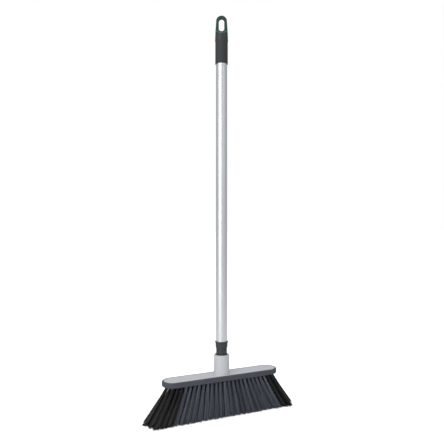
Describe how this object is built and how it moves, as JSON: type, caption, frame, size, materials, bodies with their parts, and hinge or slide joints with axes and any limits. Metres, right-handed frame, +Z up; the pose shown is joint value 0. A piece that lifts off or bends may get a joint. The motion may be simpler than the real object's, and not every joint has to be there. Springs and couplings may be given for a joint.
{
  "type": "indoor broom",
  "caption": "Indoor broom with a flared bristle head, a rubber bumper and a screw-in tube handle with a hanging eye.",
  "frame": {"origin": "on the floor, at the middle of the bristle tips' outline, under the axis of the handle", "axes": "+Z up along the handle, +X along the head, -Y to the front"},
  "size_m": [0.358, 0.068, 0.886],
  "materials": {
    "light_grey_plastic": "satin",
    "slate_rubber": "matte",
    "slate_plastic": "matte",
    "grey_bristle": "satin",
    "black_bristle": "satin",
    "anchor_metal": "bright",
    "aluminium_tube": "satin anodised",
    "dark_grey_plastic": "matte",
    "green_plastic": "satin"
  },
  "bodies": {
    "head": {"block_cover": "light_grey_plastic", "bumper_rim": "slate_rubber", "tuft_anchors": "anchor_metal", "tuft_board": "slate_plastic", "tufts_front_black_left": "black_bristle", "tufts_front_black_right": "black_bristle", "tufts_front_grey": "grey_bristle", "tufts_front_inner_black_left": "black_bristle", "tufts_front_inner_black_right": "black_bristle", "tufts_front_inner_grey": "grey_bristle", "tufts_middle_black_left": "black_bristle", "tufts_middle_black_right": "black_bristle", "tufts_middle_grey": "grey_bristle", "tufts_rear_black_left": "black_bristle", "tufts_rear_black_right": "black_bristle", "tufts_rear_grey": "grey_bristle", "tufts_rear_inner_black_left": "black_bristle", "tufts_rear_inner_black_right": "black_bristle", "tufts_rear_inner_grey": "grey_bristle"},
    "collar": {"collar_ring": "dark_grey_plastic"},
    "handle": {"handle_tube": "aluminium_tube", "threaded_plug": "dark_grey_plastic", "grip_sleeve": "dark_grey_plastic", "hanger_core": "dark_grey_plastic", "hanger_cover": "green_plastic"}
  },
  "joints": [
    {"name": "handle_lift", "type": "slide", "parent": "head", "child": "collar", "axis": [0, 0, 1], "range_m": [0, 0.019]},
    {"name": "handle_turn", "type": "hinge", "parent": "collar", "child": "handle", "pos_m": [0, 0, 0.1], "axis": [0, 0, 1], "range_deg": [0, 1368]}
  ],
  "couplings": [
    {"joint": "handle_turn", "follows": "handle_lift", "rad_per_m": 1256.6}
  ]
}
